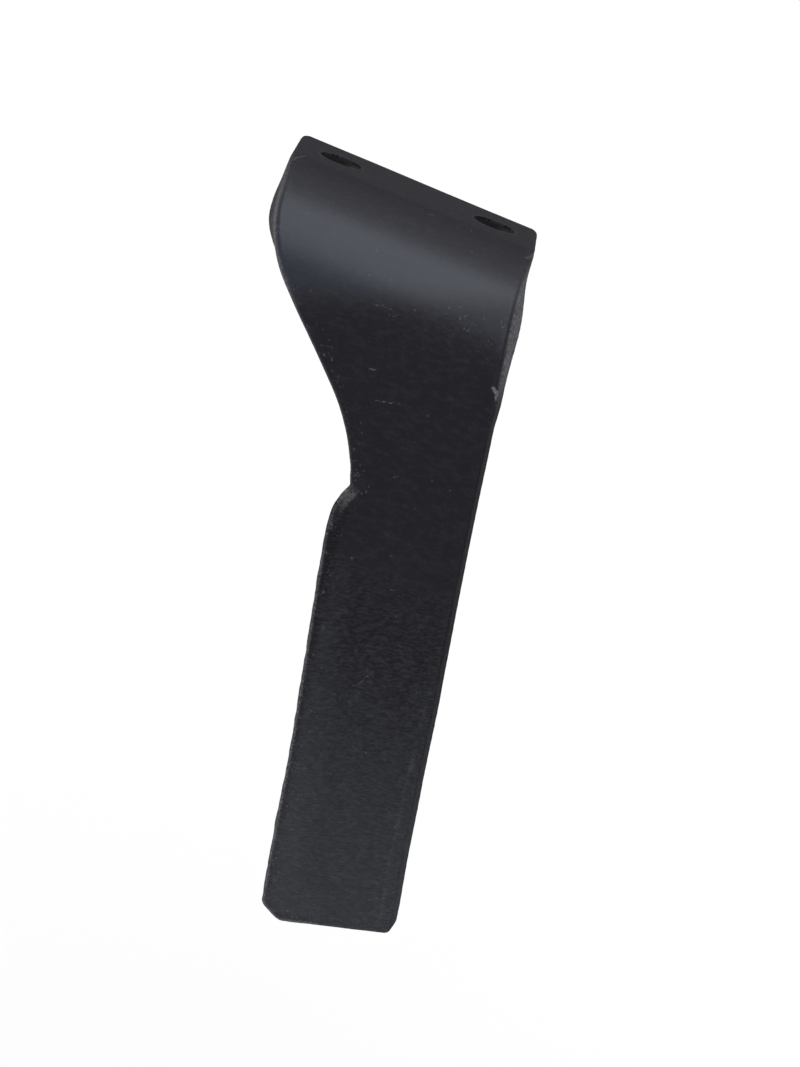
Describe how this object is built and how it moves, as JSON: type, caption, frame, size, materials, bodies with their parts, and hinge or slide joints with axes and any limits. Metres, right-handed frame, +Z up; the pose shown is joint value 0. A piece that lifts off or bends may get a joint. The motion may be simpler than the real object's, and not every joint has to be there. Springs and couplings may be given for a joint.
{
  "type": "power harrow tine",
  "caption": "Right-angled flat steel tine: bolt flange with a large-radius bend into a slanted blade with a notched leading edge and a bevelled tip.",
  "frame": {"origin": "middle of the line between the two bolt holes, on the flange's upper face, which is clamped to the rotor's tine holder", "axes": "+X along the bolt line towards the trailing side, +Y from the bend towards the flange's free edge, +Z up out of the mounting face; the blade hangs towards -Z"},
  "size_m": [0.1581, 0.0918, 0.273],
  "materials": {
    "painted_steel": "satin black paint over forged and hammered steel"
  },
  "bodies": {
    "root": {"tine": "painted_steel"}
  },
  "joints": []
}
